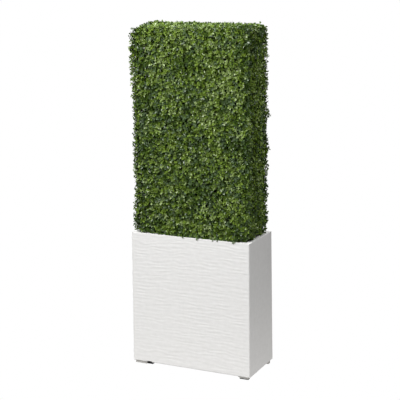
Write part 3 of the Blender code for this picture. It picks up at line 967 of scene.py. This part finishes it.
def make_twigs(sprigs, rng):
    """A twig from each sprig's foot to its tip: three points round its foot and middle, and a tip."""
    feet, tips, across, other = sprigs.feet, sprigs.tips, sprigs.across, sprigs.other
    bend = rng.normal(0.0, TWIG_BEND, feet.shape)
    angles = np.arange(TWIG_SIDES) * math.tau / TWIG_SIDES
    ring = across[:, None] * np.cos(angles)[None, :, None] + other[:, None] * np.sin(angles)[None, :, None]
    middle = (feet + tips) / 2 + bend
    low = feet[:, None] + ring * TWIG_RADIUS * TWIG_FOOT_SHARE
    high = middle[:, None] + ring * TWIG_RADIUS
    twigs = np.concatenate((low, high, tips[:, None] + sprigs.axis[:, None] * TWIG_END), axis=1)
    twigs = twigs[inside_space(twigs).all(axis=1) | sprigs.stray]
    first = np.arange(len(twigs))[:, None, None] * twigs.shape[1]
    side = np.arange(TWIG_SIDES)
    after, tip = np.roll(side, -1), np.full(TWIG_SIDES, 2 * TWIG_SIDES)
    quads = np.stack((side, after, after + TWIG_SIDES, side + TWIG_SIDES), axis=1)
    ends = np.stack((side + TWIG_SIDES, after + TWIG_SIDES, tip), axis=1)
    faces = [(first + quads[None]).reshape(-1, 4), (first + ends[None]).reshape(-1, 3)]
    mesh_piece("twigs", twigs, faces, YOUNG_BARK, ["clipped_foliage"])


def branch_nodes(feet):
    """The node that each sprig's foot gathers to: one in each cell of a coarse grid."""
    cells = np.round(feet / BRANCHLET_SPACING).astype(int)
    keys, which = np.unique(cells, axis=0, return_inverse=True)
    which = which.ravel()
    sums = np.zeros((len(keys), 3))
    np.add.at(sums, which, feet)
    nodes = sums / np.bincount(which)[:, None]
    return nodes, which


def tube(path, radii, sides):
    """Points and faces of a tube round a path, open at both ends."""
    path = np.asarray(path, float)
    ways = unit(np.gradient(path, axis=0))
    aside = unit(np.cross(ways, TUBE_ASIDE))
    other = np.cross(ways, aside)
    angles = np.arange(sides) * math.tau / sides
    ring = np.cos(angles)[None, :, None] * aside[:, None] + np.sin(angles)[None, :, None] * other[:, None]
    points = path[:, None] + ring * np.asarray(radii)[:, None, None]
    return points.reshape(-1, 3), ring_quads(len(path), sides)


def curve_points(start, first, second, end, steps):
    """Points along a cubic curve from its ends and the two places that it leans towards."""
    t = np.linspace(0.0, 1.0, steps)[:, None]
    return (
        (1 - t) ** 3 * start + 3 * (1 - t) ** 2 * t * first + 3 * (1 - t) * t**2 * second + t**3 * end
    )


def swell(steps):
    """A weight for each step of a path: none at both ends, and 1 in the middle."""
    return np.sin(np.linspace(0, math.pi, steps))[:, None]


def bough_ends(rng):
    """Where the boughs end, under the leaves of the four sides and of the top."""
    half = CROWN_HALF - BOUGH_DEPTH
    rise = HEDGE_TOP_HEIGHT - BOUGH_TOP_GAP - RIM_HEIGHT

    def along(i):
        return ((i + 0.5 + rng.uniform(-BOUGH_JITTER, BOUGH_JITTER)) / BOUGH_COLUMNS * 2 - 1) * half[0]

    def height(j):
        step = j + BOUGH_FIRST_ROW + rng.uniform(-BOUGH_JITTER, BOUGH_JITTER)
        return RIM_HEIGHT + step / BOUGH_ROWS * rise

    ends = []
    for y in (-half[1], half[1]):
        ends += [(along(i), y, height(j)) for i in range(BOUGH_COLUMNS) for j in range(BOUGH_ROWS)]
    for x in (-half[0], half[0]):
        for j in range(BOUGH_ROWS):
            z = height(j)
            ends.append((x, rng.uniform(-END_BOUGH_SPREAD, END_BOUGH_SPREAD) * half[1], z))
    for i in range(BOUGH_COLUMNS):
        x = along(i)
        y = rng.uniform(-TOP_BOUGH_SPREAD, TOP_BOUGH_SPREAD) * half[1]
        ends.append((x, y, HEDGE_TOP_HEIGHT - BOUGH_DEPTH))
    return np.array(ends)


def make_boughs(rng):
    """Boughs from the stem to places under the leaves. Gives the stretches that bear branchlets."""
    shares = np.linspace(0.0, 1.0, BOUGH_STEPS)
    radii = BOUGH_GROWTH * (1 - shares) ** BOUGH_TAPER + BOUGH_TIP_RADIUS
    stem_foot = np.array((0.0, 0.0, STEM_FOOT_HEIGHT))
    stem = np.array((STEM_LEAN, 0.0, STEM_TOP_HEIGHT - STEM_FOOT_HEIGHT))
    paths = []
    for end in bough_ends(rng):
        start = stem_foot + stem * rng.uniform(*BOUGH_STARTS)
        span = end - start
        first, second = start + span * BOUGH_FIRST_WAY, end - span * BOUGH_LAST_WAY
        path = curve_points(start, first, second, end, BOUGH_STEPS)
        path += rng.normal(0.0, BOUGH_BEND, 3) * swell(BOUGH_STEPS)
        paths.append(path + rng.normal(0.0, WOOD_SHAKE, path.shape) * swell(BOUGH_STEPS))
    points, faces = joined([tube(path, radii, BOUGH_SIDES) for path in paths])
    mesh_piece("boughs", points, [faces], BARK, ["clipped_foliage"])
    return np.concatenate([path[BOUGH_BARE_STEPS:] for path in paths])


def make_branchlets(nodes, bearing, rng):
    """A branchlet to each node from the place on a bough that it can best have grown from."""
    radii = np.linspace(*BRANCHLET_RADII, BRANCHLET_STEPS)
    tubes = []
    for node in nodes:
        down = np.maximum(0.0, bearing[:, 2] - node[2] + BRANCHLET_LEAST_RISE)
        origin = bearing[np.argmin(np.linalg.norm(bearing - node, axis=1) + DOWNWARD_COST * down)]
        first = origin + (node - origin) * BRANCHLET_WAY + (0, 0, BRANCHLET_RISE)
        second = node - outward(node[None])[0] * BRANCHLET_END
        path = curve_points(origin, first, second, node, BRANCHLET_STEPS)
        path += rng.normal(0.0, WOOD_SHAKE, path.shape) * swell(BRANCHLET_STEPS)
        tubes.append(tube(path, radii, BRANCHLET_SIDES))
    points, faces = joined(tubes)
    mesh_piece("branchlets", points, [faces], BARK, ["clipped_foliage"])


# The whole crown


def grow_sprigs(rng):
    """Sprigs all over the clipped outline, and the nodes that their feet gather to."""
    outline = np.concatenate((pulled_in(sprig_places(rng)), STRAY_SPRIGS))
    count = len(outline)
    stray = np.arange(count) >= count - len(STRAY_SPRIGS)
    way = outward(outline)
    wander = layered_noise(outline, WANDER, WANDER_SEED)
    outline += way * unevenness(outline)[:, None]
    depth = TIP_DEPTH + rng.normal(0.0, TIP_DEPTH_SPREAD, count) - wander
    depth = np.clip(depth, *TIP_DEPTH_LIMITS) + TOP_EXTRA_DEPTH * np.maximum(way[:, 2], 0.0)
    depth[stray] = -STRAY_REACH
    feet = outline - way * BRANCHLET_DEPTH
    nodes, which = branch_nodes(feet)
    feet += (nodes[which] - feet) * GATHER
    tips = outline - way * depth[:, None] + rng.normal(0.0, TIP_SPREAD, (count, 3))
    axis = unit(tips - feet + rng.normal(0.0, AXIS_SPREAD, (count, 3)))
    across = unit(np.cross(axis, rng.normal(0.0, 1.0, (count, 3))))
    other = np.cross(axis, across)
    return Sprigs(feet, tips, axis, across, other, colour_groups(outline, rng), stray), nodes


def make_foliage():
    """All that the mass of foliage shows: its leaves, twigs, branchlets and boughs."""
    rng = np.random.default_rng(SEED)
    sprigs, nodes = grow_sprigs(rng)
    leaves, leaf_groups = sprig_leaves(sprigs, rng)
    hanging = leaves_over_rim(np.random.default_rng(RIM_LEAF_SEED))
    skirt = skirt_leaves(np.random.default_rng(SKIRT_SEED))
    skirt_colours = np.random.default_rng(SKIRT_COLOUR_SEED)
    skirt_groups = skirt_colours.choice(len(SKIRT_SHARES), len(skirt), p=SKIRT_SHARES)
    make_leaves(
        np.concatenate((leaves, hanging, skirt)),
        np.concatenate((leaf_groups, np.zeros(len(hanging), int), skirt_groups)),
    )
    make_twigs(sprigs, rng)
    bearing = make_boughs(rng)
    make_branchlets(nodes, bearing, rng)


def make_shade():
    """The mass of old inner leaves that closes the view into the block, dark with painted shade."""
    half = CROWN_HALF - SHADE_DEPTH
    low, high = CROWN_MIDDLE - half, CROWN_MIDDLE + half
    low[2] = CORE_FOOT_HEIGHT
    axes = [np.linspace(a, b, max(2, round((b - a) / SHADE_CELL)) + 1) for a, b in zip(low, high)]
    sides = []
    for fixed in range(3):
        a, b = [axis for axis in range(3) if axis != fixed]
        for level, flip in ((0, True), (-1, False)):
            u, v = np.meshgrid(axes[a], axes[b], indexing="ij")
            at = np.zeros((u.size, 3))
            at[:, a], at[:, b], at[:, fixed] = u.ravel(), v.ravel(), axes[fixed][level]
            quads = grid_quads(np.arange(u.size).reshape(u.shape))
            if flip != (fixed == 1):
                quads = quads[:, ::-1]
            sides.append((at, quads))
    points, faces = joined(sides)
    lumps = value_noise(points, SHADE_LUMPS, SHADE_SEED) * SHADE_BUMP
    lumps[points[:, 2] <= CORE_FOOT_HEIGHT] = 0.0
    points = points + outward(points) * lumps[:, None]
    mesh_piece("inner_shade", points, [faces], INNER_SHADE, ["clipped_foliage"])


def finish_feet():
    """Gives the feet and glides, which keep their solids, their own materials; the feet's mortar is
    darkened with painted shade.
    """
    for node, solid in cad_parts.items():
        for start, finish in (("foot_", FOOT_MORTAR_PAINTED_SHADE), ("glide_", RUBBER)):
            if node.startswith(start):
                solid.data.materials.clear()
                solid.data.materials.append(finish)


finish_feet()
make_planter()
make_soil()
make_stem()
make_foliage()
make_shade()


# Camera and light


def place_camera():
    """Places the camera: its roll first, then its tilt, and then its turn to the left."""
    data = bpy.data.cameras.new("camera")
    data.sensor_width = SENSOR
    data.lens = SENSOR * FOCAL_PIXELS / IMAGE_SIDE
    camera = placed("camera", data)
    roll = Matrix.Rotation(CAMERA_ROLL, 4, "Z")
    tilt = Matrix.Rotation(math.pi / 2 - CAMERA_PITCH, 4, "X")
    turn = Matrix.Rotation(CAMERA_YAW, 4, "Z")
    camera.matrix_world = Matrix.Translation(CAMERA_PLACE) @ turn @ tilt @ roll
    bpy.context.scene.camera = camera


def make_studio():
    """A dim white surround, which the camera itself sees as plain white."""
    world = bpy.data.worlds.new("studio")
    bpy.context.scene.world = world
    world.use_nodes = True
    nodes, links = world.node_tree.nodes, world.node_tree.links
    seen = nodes.new("ShaderNodeBackground")
    seen.inputs["Color"].default_value = (1.0, 1.0, 1.0, 1.0)
    lit = nodes["Background"]
    lit.inputs["Color"].default_value = (*AMBIENT, 1.0)
    toward = nodes.new("ShaderNodeTexCoord")
    split = nodes.new("ShaderNodeSeparateXYZ")
    links.new(toward.outputs["Generated"], split.inputs["Vector"])
    blend = (-HORIZON_BLEND, HORIZON_BLEND)
    strength = remapped(world.node_tree, split.outputs["Z"], blend, (BELOW_FLOOR, SKY))
    links.new(strength, lit.inputs["Strength"])
    choose = nodes.new("ShaderNodeMixShader")
    path = nodes.new("ShaderNodeLightPath")
    links.new(path.outputs["Is Camera Ray"], choose.inputs["Fac"])
    links.new(lit.outputs["Background"], choose.inputs[1])
    links.new(seen.outputs["Background"], choose.inputs[2])
    links.new(choose.outputs["Shader"], nodes["World Output"].inputs["Surface"])


def soft_light(name, way, distance, size, power):
    data = bpy.data.lights.new(name, "AREA")
    data.shape = "DISK"
    data.size = size
    data.energy = power
    light = placed(name, data)
    light.location = AIM + Vector(way).normalized() * distance
    light.rotation_mode = "QUATERNION"
    light.rotation_quaternion = Vector(way).to_track_quat("Z", "Y")


def make_floor():
    """A glowing floor, which lights the part from below and which the camera doesn't see."""
    angles = np.arange(FLOOR_SIDES) * math.tau / FLOOR_SIDES
    corners = [(FLOOR_RADIUS * math.cos(a), FLOOR_RADIUS * math.sin(a), 0.0) for a in angles]
    mesh = bpy.data.meshes.new("floor")
    mesh.from_pydata(corners, [], [range(FLOOR_SIDES)])
    glowing = material("white_floor", colour=(0.0, 0.0, 0.0), roughness=1.0)
    shader = glowing.node_tree.nodes["Principled BSDF"]
    shader.inputs["Emission Color"].default_value = (*AMBIENT, 1.0)
    shader.inputs["Emission Strength"].default_value = FLOOR_GLOW
    mesh.materials.append(glowing)
    floor = placed("floor", mesh)
    floor.visible_camera = False


place_camera()
make_studio()
for light_name, settings in LIGHTS.items():
    soft_light(light_name, *settings)
make_floor()

view = bpy.context.scene.view_settings
view.view_transform = "Standard"
view.look = "None"
view.exposure = 0.0
view.gamma = 1.0
